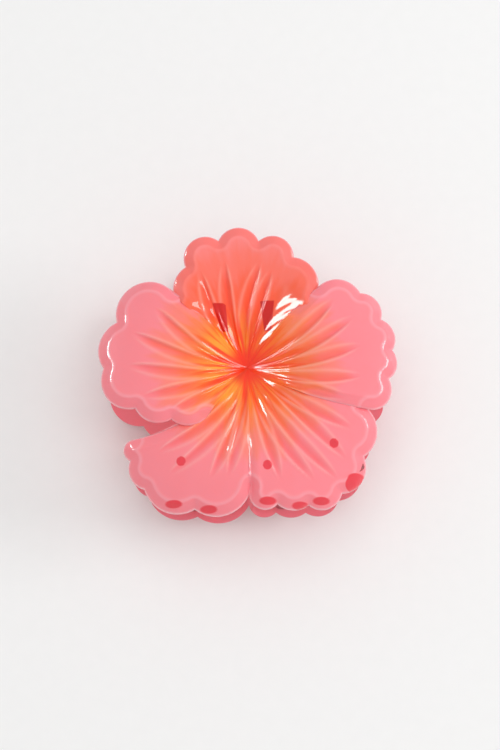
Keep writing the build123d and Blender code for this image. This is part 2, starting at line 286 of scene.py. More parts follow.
def vein_relief(petal, points):
    """A vein is a leaf-shaped groove with a fine ridge along both edges.  Its middle's angle
    swings from the tip's to the root's as (1 - s)^1.2, s = r / tip radius, its half width is
    W sin(pi s^1.6)^0.7, and q = side / half width.  The groove falls gently from q = 1 to
    q = -0.4 and climbs steeply to q = -1; the ridges are bells on q = -1.1 and q = 1.15."""
    radius = np.hypot(points[:, 0], points[:, 1])
    angle = np.degrees(np.arctan2(points[:, 1], points[:, 0]))
    groove = np.zeros(len(points))
    ridge = np.zeros(len(points))
    for tip_angle, root_angle, tip_radius in petal["veins"]:
        s = np.clip(radius / tip_radius, 0, 1)
        swing = (root_angle - tip_angle) * (1 - s) ** 1.2
        turn = (angle - tip_angle - swing + 180.0) % 360.0 - 180.0
        half_width = 0.06 + GROOVE_HALF_WIDTH * np.sin(np.pi * s ** 1.6) ** 0.7
        q = radius * np.radians(turn) / half_width
        depth = ramp(0.05, 0.4, s) * (1 - ramp(0.8, 1.0, s))
        groove = np.maximum(groove, depth * ramp(1.1, -0.4, q) * ramp(-1.0, -0.45, q))
        crests = np.exp(-((q + 1.1) / 0.28) ** 2) + 0.8 * np.exp(-((q - 1.15) / 0.34) ** 2)
        ridge = np.maximum(ridge, crests * ramp(0.12, 0.45, s) * (1 - ramp(0.86, 1.0, s)))
    return groove, ridge


def crown(petal, radius):
    """Side and lower petals: a quarter sine up to the bulge, then a square fall to the rim.
    Top petal: throat + climb (r / reach)^0.9."""
    if petal is TOP:
        climb = (radius / petal["reach"]) ** HANDLE_FLARE
        return THROAT_HEIGHT + (HANDLE_TIP_HEIGHT - THROAT_HEIGHT) * climb
    rise = np.sin(np.pi / 2 * np.clip(radius / BULGE_RADIUS, 0, 1))
    fall = np.clip((radius - BULGE_RADIUS) / (RIM_RADIUS - BULGE_RADIUS), 0, None) ** 2
    return THROAT_HEIGHT + (BULGE_HEIGHT - THROAT_HEIGHT) * rise - RIM_DROP * fall


def flank(petal, points, radius):
    """Top petal only: over the last 19.5 degrees before each neighbour, a straight climb to
    0.16 r, flat but for the ripple of the mould's polish, 0.08 mm sin(1.1 r + 0.5 degrees)."""
    if petal is not TOP:
        return 0.0
    angle = np.degrees(np.arctan2(points[:, 1], points[:, 0]))
    inside = np.minimum(angle - FLANK_ANGLES[0], FLANK_ANGLES[1] - angle)
    climb = np.clip(1 - inside / FLANK_SPAN, 0, 1)
    rounding = np.sqrt((climb - FLANK_CREASE) ** 2 + FLANK_CREASE ** 2)
    climb = (climb + rounding - FLANK_CREASE * 2 ** 0.5) / 2
    ripple = FLANK_RIPPLE * np.sin(1.1 * radius + 0.5 * inside) * 4 * climb * (1 - climb)
    ends = ramp(3.0, 9.0, radius) * (1 - ramp(*FLANK_ENDS, radius))
    return (FLANK_SLOPE * radius * climb + ripple) * ends


def seam(petal, points, radius):
    """Between the two lower petals, which are one sheet, a valley 0.7 mm (1 - d / 2.2 mm)^2 deep,
    d from the line where they meet."""
    if petal is not LOWER_LEFT and petal is not LOWER_RIGHT:
        return 0.0
    notch = rim_line(LOWER_LEFT)[-1]
    line = np.linspace(0.3, 1.2, 4)[:, None] * notch
    near = np.clip(1 - distance_to_line(points, line) / SEAM_HALF_WIDTH, 0, 1)
    return SEAM_DEPTH * near ** 2 * ramp(12.0, 22.0, radius)


def petal_heights(petal, points):
    """Base = crown + lift + flank - seam; outer face = base + ridges - grooves + bead - bevel;
    inner face = base + part of the veins - wall."""
    radius = np.hypot(points[:, 0], points[:, 1])
    edge = edge_distance(petal, points)
    inward = np.clip(1 - edge / BORDER_WIDTH, 0, 1)
    corner = np.clip(1 - edge / EDGE_ROUND, 0, 1)
    bevel = BORDER_DROP * inward ** 1.15 + EDGE_ROUND * (1 - np.sqrt(1 - corner ** 2))
    bead = BEAD_HEIGHT * np.exp(-((edge - BORDER_WIDTH) / BEAD_WIDTH) ** 2)
    base = crown(petal, radius) + petal["lift"] * ramp(*LIFT_STARTS, radius)
    base = base + flank(petal, points, radius) - seam(petal, points, radius)
    groove, ridge = vein_relief(petal, points)
    vein = (RIDGE_HEIGHT * ridge - GROOVE_DEPTH * groove) * ramp(1.2, 2.6, edge)
    outer = base + vein + bead - bevel
    inner = base + INNER_VEIN_SHARE * vein - SHELL
    return outer, inner, edge


crest = at(93.0, np.array([10.0, 20.0, 30.0]))
print("top petal's height at 10, 20 and 30 mm", petal_heights(TOP, crest)[0].round(2))


# %% [markdown]
# Meshes are built from whole grids of points: neighbours in a grid give the faces.  A petal is
# closed by sewing its outer grid to its inner grid around the border.  A Solidify modifier
# would give an even wall too, but not one whose inner face carries only part of the veins.

# %% Meshes from grids
FACE_SLOT = 0
PAINT_SLOT = 1
CLEAR_SLOT = 2
LEAST_WALL = 0.35


def quads(index):
    """Faces between neighbouring cells of a two-dimensional array of vertex numbers."""
    return np.stack(
        [index[:-1, :-1], index[1:, :-1], index[1:, 1:], index[:-1, 1:]], -1
    ).reshape(-1, 4)


def new_piece(name, points_mm, faces, slots=0, materials=()):
    """A mesh object at the origin, from millimetres about the flower's middle.  Points that no
    face uses are left out, and a face that names a point twice becomes a triangle."""
    used, numbers = np.unique(faces, return_inverse=True)
    places = flower_middle + MM * np.asarray(points_mm)[used]
    corners = [list(dict.fromkeys(face)) for face in numbers.reshape(-1, 4).tolist()]
    mesh = bpy.data.meshes.new(name)
    mesh.from_pydata(places.tolist(), [], corners)
    for material in materials:
        mesh.materials.append(material)
    mesh.polygons.foreach_set("material_index", np.broadcast_to(slots, len(faces)).astype(np.int32))
    mesh.update()
    piece = bpy.data.objects.new(name, mesh)
    bpy.context.scene.collection.objects.link(piece)
    return piece


def petal_piece(petal, name, materials):
    """Outer grid, inner grid and the walls between their borders, as one closed mesh."""
    fan = petal_fan(petal)
    rows, columns = fan.shape[:2]
    flat = fan.reshape(-1, 2)
    outer, inner, _ = petal_heights(petal, flat)
    inner = np.minimum(inner, outer - LEAST_WALL)
    points = np.concatenate([np.column_stack([flat, outer]), np.column_stack([flat, inner])])
    top = np.arange(rows * columns).reshape(rows, columns)
    top[:, 0] = 0
    bottom = top + rows * columns
    rim_wall = quads(np.stack([top[:, -1], bottom[:, -1]], -1))
    first_wall = quads(np.stack([bottom[0], top[0]], -1))
    last_wall = quads(np.stack([top[-1], bottom[-1]], -1))
    faces = np.concatenate(
        [quads(top)[:, ::-1], quads(bottom), rim_wall, first_wall, last_wall[:, ::-1]]
    )
    face_count = (rows - 1) * (columns - 1)
    slots = np.full(len(faces), FACE_SLOT)
    slots[face_count:2 * face_count] = PAINT_SLOT
    return new_piece(name, points, faces, slots, materials)

# %% [markdown]
# The teeth, ears, ribs and pads are part of the same moulding.  Each is a stack of closed
# loops: neighbouring loops give the skin, and the two end loops are closed with a cap.  They
# could be extruded and bevelled by hand, but a formula for the loops keeps their sizes.

# %% Stacks of loops
def loop_stack(loops, capped=True):
    """Faces of a stack of loops, an array (loops, points around, 3), and its points.  Capped,
    a middle point closes each end; otherwise the last loop is joined to the first one."""
    count, around = loops.shape[:2]
    index = np.arange(count * around).reshape(count, around)
    index = np.concatenate([index, index[:, :1]], 1)
    points = loops.reshape(-1, 3)
    if not capped:
        return points, quads(np.concatenate([index, index[:1]]))
    middles = np.stack([loops[0].mean(0), loops[-1].mean(0)])
    first = np.full(around, len(points))
    start = np.stack([index[0, :-1], index[0, 1:], first, first], -1)
    end = np.stack([index[-1, 1:], index[-1, :-1], first + 1, first + 1], -1)
    return np.concatenate([points, middles]), np.concatenate([quads(index), start, end])


TOOTH_PASS = 5.0
TOOTH_ROOT = (2.2, 1.5)
TOOTH_TIP = (1.0, 0.75)
TOOTH_CURL = 3.6
TOOTH_BLUNTNESS = 0.985


def tooth_loops(x, radius):
    """Ovals down a line that leans by curl t^2: half sizes root + (tip - root) t, times
    sqrt(1 - (0.985 t)^12), which rounds the tip off."""
    t = np.linspace(0.0, 1.0, 30)[:, None] ** 0.85
    turn = np.linspace(0.0, 2 * np.pi, 24, endpoint=False)
    root_y = -math.sqrt(radius ** 2 - x ** 2)
    root_z = crown(LOWER_LEFT, np.array(radius)) + LOWER_LIFT - 0.5 * SHELL
    round_off = np.sqrt(1 - (TOOTH_BLUNTNESS * t) ** 12)
    half_width = (TOOTH_ROOT[0] + (TOOTH_TIP[0] - TOOTH_ROOT[0]) * t) * round_off
    half_depth = (TOOTH_ROOT[1] + (TOOTH_TIP[1] - TOOTH_ROOT[1]) * t) * round_off
    return np.stack([
        x + half_width * np.cos(turn),
        root_y + TOOTH_CURL * t ** 2 + half_depth * np.sin(turn),
        root_z + (-TOOTH_PASS - root_z) * t + 0 * turn,
    ], -1)


PIN_RADIUS = 1.0
EAR_WALL = 3.0
EAR_RADIUS = 4.0
EAR_BEVEL = 0.35


def ear_loops(start_x, hole_radius):
    """An ear's outline is a half circle about the pin below and a straight-sided tongue above,
    up into the petal's wall.  The loops run from the hole out over one bevelled side, across the
    rim and back into the hole on the other side."""
    turn = np.linspace(0.0, 2 * np.pi, 64, endpoint=False)
    across, up = np.cos(turn), np.sin(turn)
    top_y = EAR_RADIUS * np.clip(across * 1.42, -1, 1)
    wall_top = crown(TOP, HINGE_Y + top_y) - 0.5 * SHELL
    stretch = np.clip(up * 1.42, 0, 1)
    outline = np.where(
        up[:, None] < 0,
        EAR_RADIUS * np.stack([across, up], -1),
        np.stack([top_y, wall_top * stretch], -1),
    )
    hole = hole_radius * np.stack([across, up], -1)
    inset = outline * (1 - EAR_BEVEL / EAR_RADIUS)
    end_x = start_x + EAR_WALL
    rings = [(hole, start_x), (inset, start_x), (outline, start_x + EAR_BEVEL),
             (outline, end_x - EAR_BEVEL), (inset, end_x), (hole, end_x)]
    return np.stack([
        np.column_stack([np.full(len(turn), x), HINGE_Y + ring[:, 0], ring[:, 1]])
        for ring, x in rings
    ])


RIB_HALF = (0.5, 1.4)
FOOT_START = 8.6
FOOT_LENGTH = 5.2


def rib_loops(x):
    """A rounded bar along the handle's inner face: sections |a|^4 + |b|^4 = 1 that shrink at both
    ends by sqrt(1 - s^8), s from -1 to 1 along the bar."""
    s = np.linspace(-0.99, 0.99, 16)[:, None]
    turn = np.linspace(0.0, 2 * np.pi, 20, endpoint=False)
    a = np.sign(np.cos(turn)) * np.abs(np.cos(turn)) ** 0.5
    b = np.sign(np.sin(turn)) * np.abs(np.sin(turn)) ** 0.5
    shrink = np.sqrt(1 - s ** 8)
    y = HINGE_Y + FOOT_START + FOOT_LENGTH * (1 + s) / 2
    z = crown(TOP, y) - SHELL
    return np.stack([
        x + RIB_HALF[0] * shrink * a,
        y + 0 * a,
        z + RIB_HALF[1] * shrink * b,
    ], -1)


PAD_RADIUS = 1.2
PAD_HEIGHT = 0.4
PADS = ((-17.0, -25.7), (5.3, -26.7), (22.5, -21.0))


def pad_loops(x, y):
    """A round pad 0.4 mm proud of the inner face, its corner rounded by one step."""
    turn = np.linspace(0.0, 2 * np.pi, 28, endpoint=False)
    face = float(crown(LOWER_LEFT, np.hypot(x, y))) + LOWER_LIFT - SHELL
    steps = ((1.0, face + 2 * PAD_HEIGHT), (1.0, face - 0.7 * PAD_HEIGHT), (0.9, face - PAD_HEIGHT))
    return np.stack([
        np.column_stack([x + PAD_RADIUS * share * np.cos(turn),
                         y + PAD_RADIUS * share * np.sin(turn), np.full(28, height)])
        for share, height in steps
    ])


tooth_sample = tooth_loops(5.4, 33.4)
print("a tooth is", round(float(np.ptp(tooth_sample[:, :, 2])), 1), "mm long")


# %% [markdown]
# A Boolean union of closed meshes gives one moulding with no walls inside it.  Blender's
# manifold solver does it in a moment and keeps each face's material slot.

# %% Union into one moulding
def join_parts(parts):
    """Several (points, faces) as one."""
    starts = np.cumsum([0] + [len(points) for points, _ in parts[:-1]])
    return (np.concatenate([points for points, _ in parts]),
            np.concatenate([faces + start for (_, faces), start in zip(parts, starts)]))


def united(name, pieces):
    """The union of closed meshes as a new mesh object; the operands are removed."""
    whole = pieces[0]
    for number, piece in enumerate(pieces[1:]):
        union = whole.modifiers.new(f"union_{number}", "BOOLEAN")
        union.operation = "UNION"
        union.solver = "MANIFOLD"
        union.object = piece
    evaluated = whole.evaluated_get(bpy.context.evaluated_depsgraph_get())
    mesh = bpy.data.meshes.new_from_object(evaluated)
    for piece in pieces:
        bpy.data.objects.remove(piece)
    result = bpy.data.objects.new(name, mesh)
    bpy.context.scene.collection.objects.link(result)
    return result


def mesh_points(piece):
    """The piece's vertices, in millimetres about the flower's middle."""
    places = np.zeros(len(piece.data.vertices) * 3)
    piece.data.vertices.foreach_get("co", places)
    return (places.reshape(-1, 3) - flower_middle) / MM


def fitting(name, stacks, materials, facing, slot=CLEAR_SLOT, capped=True):
    """Loop stacks, reflected for the rear jaw by facing -1, as one closed mesh object."""
    parts = [loop_stack(loops, capped) for loops in stacks]
    points, faces = join_parts(parts)
    piece = new_piece(name, points * [1, 1, facing], faces, slot, materials)
    face_outwards(piece)
    return piece


def face_outwards(piece):
    """Turns every face of a closed mesh outwards."""
    sheet = bmesh.new()
    sheet.from_mesh(piece.data)
    bmesh.ops.recalc_face_normals(sheet, faces=sheet.faces[:])
    sheet.to_mesh(piece.data)
    sheet.free()

# %% [markdown]
# ## Finishes
# Colours are written as the sRGB hex values a painter would quote, and one function turns them
# into the linear values that a renderer adds up.  One more function adds any node.

# %% Colour and node helpers
def hex_colour(code):
    """sRGB hex to linear: c / 12.92 below 0.04045, else ((c + 0.055) / 1.055)^2.4."""
    parts = [int(code[place:place + 2], 16) / 255 for place in (0, 2, 4)]
    return [c / 12.92 if c <= 0.04045 else ((c + 0.055) / 1.055) ** 2.4 for c in parts] + [1.0]


def add_node(tree, kind, inputs, out=0, stops=(), **settings):
    """Adds one shader node and returns one of its outputs.  Settings are its properties; inputs
    are values, or other nodes' outputs to link; stops are a ramp's (place, hex) pairs."""
    made = tree.nodes.new("ShaderNode" + kind)
    for name, value in settings.items():
        setattr(made, name, value)
    for name, value in inputs.items():
        if isinstance(value, bpy.types.NodeSocket):
            tree.links.new(value, made.inputs[name])
        else:
            made.inputs[name].default_value = value
    if stops:
        made.color_ramp.interpolation = "EASE"
    for number, (place, code) in enumerate(stops):
        # A ramp starts with two stops; the others are added.
        on_ramp = made.color_ramp.elements
        stop = on_ramp[number] if number < 2 else on_ramp.new(place)
        stop.position = place
        stop.color = hex_colour(code)
    return made.outputs[out]


def new_material(name, finish):
    """A node material with one Principled shader, whose constant sockets are finish."""
    material = bpy.data.materials.new(name)
    material.use_nodes = True
    tree = material.node_tree
    shader = tree.nodes["Principled BSDF"]
    for socket, value in finish.items():
        shader.inputs[socket].default_value = value
    return material, tree, shader


print("a petal's pink in linear light", [round(part, 3) for part in hex_colour("FF8992")])

# %% [markdown]
# The petals' patterns are polar: rings of colour round the throat, and streaks along the
# spokes.  So each petal finish starts from the distance and the angle about the flower's middle.

# %% Polar coordinates about the throat
STREAKS_AROUND = 4.6
STREAKS_OUTWARDS = 0.035


def polar_place(tree):
    """radius = |(x, y)| in millimetres, angle = atan2(y, x), and x, from Object coordinates."""
    place = add_node(tree, "TexCoord", {}, "Object")
    local = add_node(tree, "VectorMath", {0: place, 1: list(flower_middle)}, operation="SUBTRACT")
    flat = add_node(tree, "VectorMath", {0: local, 1: [1 / MM, 1 / MM, 0.0]}, operation="MULTIPLY")
    radius = add_node(tree, "VectorMath", {0: flat}, "Value", operation="LENGTH")
    x, y, _ = add_node(tree, "SeparateXYZ", {0: flat}).node.outputs
    angle = add_node(tree, "Math", {0: y, 1: x}, operation="ARCTAN2")
    return radius, angle, x


def streaks(tree, radius, angle):
    """Noise that is long along the spokes and narrow across them: about 2 mm across at a
    radius of 10 mm."""
    around = add_node(tree, "Math", {0: angle, 1: STREAKS_AROUND}, operation="MULTIPLY")
    outwards = add_node(tree, "Math", {0: radius, 1: STREAKS_OUTWARDS}, operation="MULTIPLY")
    place = add_node(tree, "CombineXYZ", {0: around, 1: outwards})
    return add_node(tree, "TexNoise", {"Vector": place, "Scale": 1.6, "Detail": 3.0,
                                       "Roughness": 0.55})


# %% [markdown]
# Clear plastic that is painted on its inner face looks like deep, wet paint: the colour sits
# under a hard gloss and light spreads a millimetre or two inside.  A diffuse colour with some
# subsurface scattering, under a clear coat of acrylic's index, does that.  Real clear plastic
# over a painted sheet would need many light bounces to look the same.  The border shows more
# plastic and less paint, so it is a stronger pink, darkened a little more with painted shade
# for the bevel's slope, and its pale line is pooled paint and partly a painted highlight on
# the bead.  Over the veins, painted shade darkens the grooves and a painted highlight pales
# the ridges; the pale outer edge is painted light for the backdrop seen through the clear rim.

# %% Painted clear plastic, seen through the plastic
PETAL_RINGS = ((0.0, "FF3200"), (0.13, "FF4200"), (0.26, "FF6410"), (0.38, "FF8050"),
               (0.5, "FF8477"), (0.64, "FF8992"), (1.0, "FF8B96"))
HANDLE_RINGS = ((0.0, "FF3000"), (0.14, "FF4406"), (0.30, "FF5622"), (0.46, "FF623E"),
                (0.66, "FF7766"), (0.84, "FF8783"), (1.0, "FF8B90"))
PATTERN_REACH = 42.0
STREAK_REACH = 15.0


def petal_colour(tree):
    """The face's colour: rings by radius, shifted by streaks, and over them in turn the yellow
    streaks, painted shade in the grooves, a painted highlight on the ridges, the border, a
    stronger pink partly darkened as painted shade, with its pale line, pooled paint partly
    painted as a highlight, and its pale edge, painted light for the backdrop seen through the
    clear rim, and the spots where plastic meets plastic."""
    radius, angle, x = polar_place(tree)
    streak = streaks(tree, radius, angle)
    groove, ridge, rim, edge, on_handle, unpainted = (
        add_node(tree, "Attribute", {}, "Fac", attribute_name=name)
        for name in ("groove", "ridge", "rim_distance", "edge_distance", "on_handle", "unpainted")
    )
    shift = add_node(tree, "Math", {0: streak, 1: STREAK_REACH, 2: -0.5 * STREAK_REACH},
                     operation="MULTIPLY_ADD")
    shifted = add_node(tree, "Math", {0: radius, 1: shift}, operation="ADD")
    reach = add_node(tree, "Math", {0: shifted, 1: PATTERN_REACH}, operation="DIVIDE",
                     use_clamp=True)
    # A Mix node's sockets 0, 6 and 7 are the share and the two colours, and 2 is the result.
    colour = add_node(tree, "Mix", {0: on_handle,
                                    6: add_node(tree, "ValToRGB", {0: reach}, stops=PETAL_RINGS),
                                    7: add_node(tree, "ValToRGB", {0: reach}, stops=HANDLE_RINGS)},
                      2, data_type="RGBA")
    # The border's pink, a little darker than the rings: a stronger pink for the thicker plastic
    # there, and painted shade for the bevel's slope.
    band_pink_and_shade = add_node(tree, "Mix", {0: on_handle, 6: hex_colour("FC8792"),
                                       7: hex_colour("F67670")}, 2, data_type="RGBA")
    spot_red = add_node(tree, "Mix", {0: on_handle, 6: hex_colour("EC3F4D"),
                                      7: hex_colour("D20E04")}, 2, data_type="RGBA")

    # A Map Range's socket 0 is the value; it turns 1 .. 2, here in millimetres or shares, into
    # 3 .. 4, which start as 0 and 1.  When 4 is another node's result, the two are multiplied.
    smooth = {"interpolation_type": "SMOOTHSTEP"}
    yellow = add_node(tree, "MapRange", {0: x, 1: 6.0, 2: -8.0, 3: 0.2}, **smooth)
    for value, low, high in ((radius, 3.0, 7.0), (radius, 17.0, 9.0), (streak, 0.38, 0.58)):
        yellow = add_node(tree, "MapRange", {0: value, 1: low, 2: high, 4: yellow}, **smooth)
    # Painted shade: the grooves' hollows are darkened and reddened where shade would darken them.
    groove_shade = add_node(tree, "Math", {0: groove, 1: 0.48}, operation="MULTIPLY")
    # Painted highlight: from 7 mm out, the ridges are paled where they would catch the light.
    ridge_highlight = add_node(tree, "Math", {0: ridge, 1: 0.34}, operation="MULTIPLY")
    ridge_highlight = add_node(tree, "MapRange", {0: radius, 1: 7.0, 2: 15.0, 4: ridge_highlight}, **smooth)
    # The border band's share: full along the rim, 0.3 along the free side edges.  Its colour is
    # partly painted shade.
    rim_band = add_node(tree, "MapRange", {0: rim, 1: 2.9, 2: 2.2}, **smooth)
    side_band = add_node(tree, "MapRange", {0: edge, 1: 2.6, 2: 1.2, 4: 0.3}, **smooth)
    border = add_node(tree, "Math", {0: rim_band, 1: side_band}, operation="MAXIMUM")
    strength = add_node(tree, "MapRange", {0: on_handle, 3: 0.8, 4: 0.7})
    border = add_node(tree, "Math", {0: border, 1: strength}, operation="MULTIPLY")
    # The pale line inside the border: paint pooled at the bevel's inner edge, and partly a painted
    # highlight on the bead there.
    line = add_node(tree, "MapRange", {0: on_handle, 3: 0.42, 4: 0.12})
    for low in (2.3, 3.9):
        line = add_node(tree, "MapRange", {0: rim, 1: low, 2: 2.9, 4: line}, **smooth)
    # Painted light: the pale outer edge stands for the bright backdrop seen through the clear
    # rounded rim.
    edge_light = add_node(tree, "MapRange", {0: edge, 1: 0.55, 2: 0.1, 4: 0.75}, **smooth)
    spot = add_node(tree, "MapRange", {0: unpainted, 1: -0.2, 2: 0.15}, **smooth)
    for share, over, blend in (
        (yellow, hex_colour("FFA42E"), "MIX"),
        (groove_shade, hex_colour("FFA8A0"), "MULTIPLY"),
        (ridge_highlight, hex_colour("FFBFB4"), "MIX"),
        (border, band_pink_and_shade, "MIX"),
        (line, hex_colour("FFAFB8"), "MIX"),
        (edge_light, hex_colour("FFA9B2"), "MIX"),
        (spot, spot_red, "MIX"),
    ):
        colour = add_node(tree, "Mix", {0: share, 6: colour, 7: over}, 2, data_type="RGBA",
                          blend_type=blend)
    return colour


def painted_acrylic():
    material, tree, shader = new_material("acrylic_painted_on_the_back", {
        "Roughness": 0.3, "IOR": 1.49, "Coat Weight": 1.0, "Coat Roughness": 0.02,
        "Coat IOR": 1.49, "Subsurface Weight": 0.3, "Subsurface Radius": (1.0, 0.35, 0.3),
        "Subsurface Scale": 1.5 * MM, "Specular IOR Level": 0.2,
    })
    tree.links.new(petal_colour(tree), shader.inputs["Base Color"])
    return material


# %% [markdown]
# The inner face is the paint itself: sprayed lacquer, satin rather than glossy, with the faint
# orange peel of a spray gun.  Its rings are the paint's own pink made paler than the face's, as
# painted light that lifts the inner face out of the shade it lies in under the other jaw.

# %% Sprayed lacquer on the inner face
# Paler than the face's rings: the paint's pink, lightened as painted light for the shade under the
# other jaw.
LIGHTENED_PAINT_RINGS = ((0.0, "FF5A20"), (0.2, "FF8450"), (0.42, "FF969E"), (1.0, "FF93A2"))
ORANGE_PEEL_MM = 1.1


def sprayed_lacquer():
    material, tree, shader = new_material("sprayed_lacquer", {
        "Roughness": 0.33, "IOR": 1.5, "Coat Weight": 0.35, "Coat Roughness": 0.12,
        "Subsurface Weight": 0.15, "Subsurface Radius": (1.0, 0.35, 0.3),
        "Subsurface Scale": 1.2 * MM,
    })
    radius, angle, _ = polar_place(tree)
    reach = add_node(tree, "Math", {0: radius, 1: PATTERN_REACH}, operation="DIVIDE",
                     use_clamp=True)
    cloud = add_node(tree, "MapRange", {0: streaks(tree, radius, angle), 1: 0.4, 2: 0.7, 4: 0.18},
                     interpolation_type="SMOOTHSTEP")
    paint = add_node(tree, "ValToRGB", {0: reach}, stops=LIGHTENED_PAINT_RINGS)
    colour = add_node(tree, "Mix", {0: cloud, 6: paint, 7: hex_colour("FF8A90")}, 2,
                      data_type="RGBA")
    tree.links.new(colour, shader.inputs["Base Color"])
    place = add_node(tree, "TexCoord", {}, "Object")
    peel = add_node(tree, "TexNoise", {"Vector": place, "Detail": 1.0,
                                       "Scale": 1 / (ORANGE_PEEL_MM * MM)})
    bump = add_node(tree, "Bump", {"Height": peel, "Strength": 0.12, "Distance": 0.05 * MM})
    tree.links.new(bump, shader.inputs["Normal"])
    return material


# %% [markdown]
# Teeth, ears and ribs are the bare moulding: clear acrylic with a red dye.  The dye is a volume
# that absorbs green and blue, so thin tips are pale pink and thick roots deep red.  A part of
# the surface scatters instead, as scuffed acrylic does, which keeps thick roots from going dark.

# %% Bare tinted acrylic
def tinted_acrylic():
    material, tree, shader = new_material("tinted_acrylic", {
        "Base Color": hex_colour("FFA6AD"), "Roughness": 0.04, "IOR": 1.49,
        "Transmission Weight": 0.72,
    })
    dye = add_node(tree, "VolumeAbsorption", {"Color": hex_colour("FA7C8E"), "Density": 130.0})
    tree.links.new(dye, tree.nodes["Material Output"].inputs["Volume"])
    return material


# %% [markdown]
# The pin and the spring are steel.  Drawn wire has fine scratches along its length; the pin is
# nickel plated, so it is a little warmer and smoother.

# %% Steels
WIRE_SCRATCH_MM = 0.12
CLOUD_MM = 3.0


def drawn_steel(name, colour, roughness):
    material, tree, shader = new_material(name, {"Metallic": 1.0})
    place = add_node(tree, "TexCoord", {}, "Object")
    fine = add_node(tree, "TexNoise", {"Vector": place, "Detail": 4.0,
                                       "Scale": 1 / (WIRE_SCRATCH_MM * MM)})
    cloudy = add_node(tree, "TexNoise", {"Vector": place, "Detail": 2.0,
                                         "Scale": 1 / (CLOUD_MM * MM)})
    gloss = add_node(tree, "MapRange", {0: fine, 3: roughness - 0.07, 4: roughness + 0.09})
    tree.links.new(gloss, shader.inputs["Roughness"])
    tone = add_node(tree, "Mix", {0: cloudy, 6: hex_colour(colour), 7: hex_colour("8E8D8B")}, 2,
                    data_type="RGBA")
    tree.links.new(tone, shader.inputs["Base Color"])
    bump = add_node(tree, "Bump", {"Height": fine, "Strength": 0.15, "Distance": 0.02 * MM})
    tree.links.new(bump, shader.inputs["Normal"])
    return material


spring_steel = drawn_steel("drawn_spring_steel", "C9C8C6", 0.27)
nickel_plate = drawn_steel("nickel_plated_steel", "D8D2C6", 0.22)
jaw_finishes = (painted_acrylic(), sprayed_lacquer(), tinted_acrylic())
print("finishes", [material.name for material in jaw_finishes + (spring_steel, nickel_plate)])

# %% [markdown]
# ## The jaws
# The petal finish needs six numbers at every point of the mesh.  They are worked out again
# after the union, from where each vertex lies: it belongs to the petal whose face it is on.

# %% Numbers the petal finish reads
# A window is an ear's root seen through the handle: middle x, middle y, half width, half
# height and lean.  The corner spot is an oval: x, y, half width and half height.
WINDOWS = ((-6.6, 12.75, 1.3, 3.7, -0.217), (5.4, 13.2, 1.35, 3.9, -0.02))
WINDOW_TAPER = 0.12
TOOTH_SPOT = (2.2, 1.0)
TOOTH_SPOT_BELOW = 2.8
CORNER_SPOT = (28.0, -31.2, 2.4, 2.1)


def unpainted_depth(points, teeth):
    """Millimetres inside the nearest spot where the paint touches no air: the ears' roots,
    tapered oblongs, the ejector pads, discs, and the teeth's roots, ovals.  Negative outside."""
    depth = np.full(len(points), -5.0)
    x, y = points[:, 0], points[:, 1]
    for middle_x, middle_y, half_width, half_height, lean in WINDOWS:
        up = y - middle_y
        width = half_width + WINDOW_TAPER * up
        depth = np.maximum(depth, np.minimum(
            width - np.abs(x - middle_x - lean * up), half_height - np.abs(up)))
    for pad_x, pad_y in PADS:
        depth = np.maximum(depth, PAD_RADIUS - np.hypot(x - pad_x, y - pad_y))
    for tooth_x, radius in teeth:
        tooth_y = -math.sqrt(radius ** 2 - tooth_x ** 2) - TOOTH_SPOT_BELOW
        oval = np.hypot((x - tooth_x) / TOOTH_SPOT[0], (y - tooth_y) / TOOTH_SPOT[1])
        depth = np.maximum(depth, TOOTH_SPOT[1] * (1 - oval))
    spot_x, spot_y, half_width, half_height = CORNER_SPOT
    oval = np.hypot((x - spot_x) / half_width, (y - spot_y) / half_height)
    return np.maximum(depth, half_height * (1 - oval))


def write_marks(piece, facing, teeth):
    """edge_distance, rim_distance, groove, ridge, on_handle and unpainted, at the vertices."""
    points = mesh_points(piece) * [1, 1, facing]
    best = np.full(len(points), np.inf)
    names = ("edge_distance", "rim_distance", "groove", "ridge", "on_handle")
    marks = np.zeros((len(names), len(points)))
    for petal in PETALS:
        outer, _, edge = petal_heights(petal, points[:, :2])
        groove, ridge = vein_relief(petal, points[:, :2])
        rim = distance_to_line(points[:, :2], rim_line(petal))
        own = np.stack([edge, rim, groove, ridge, np.full(len(points), float(petal is TOP))])
        miss = np.abs(points[:, 2] - outer)
        marks = np.where(miss < best, own, marks)
        best = np.minimum(miss, best)
    unpainted = unpainted_depth(points, teeth)
    for name, values in zip(names + ("unpainted",), [*marks, unpainted]):
        piece.data.attributes.new(name, "FLOAT", "POINT").data.foreach_set("value", values)


# %% [markdown]
# Both jaws come from one function.  The rear jaw is the front one reflected in the plane
# between them, with its own ears, ribs and teeth, so that the two sets pass each other.

# %% Build both jaws
SPRING_BAY = 9.966
EAR_SIDE_PLAY = 0.2
PIN_CLEARANCE = 0.05
WIRE_RADIUS = 0.55
RIB_CLEARANCE = 0.2
LEG_OFFSET = 3.746
FOOT_OFFSET = 4.855
LEFT_REACH = LOWER_LEFT["reach"]
RIGHT_REACH = LOWER_RIGHT["reach"]
FRONT_TEETH = ((-19.0, 0.88 * LEFT_REACH), (-9.9, 0.83 * LEFT_REACH), (5.4, 0.78 * RIGHT_REACH),
               (13.9, 0.86 * RIGHT_REACH), (19.3, 0.89 * RIGHT_REACH), (28.4, 0.91 * RIGHT_REACH))
REAR_TEETH = ((-24.5, 0.88 * LEFT_REACH), (-14.5, 0.86 * LEFT_REACH), (-4.6, 0.80 * LEFT_REACH),
              (9.7, 0.83 * RIGHT_REACH), (23.9, 0.91 * RIGHT_REACH))
SHARP_EDGE = math.radians(38)


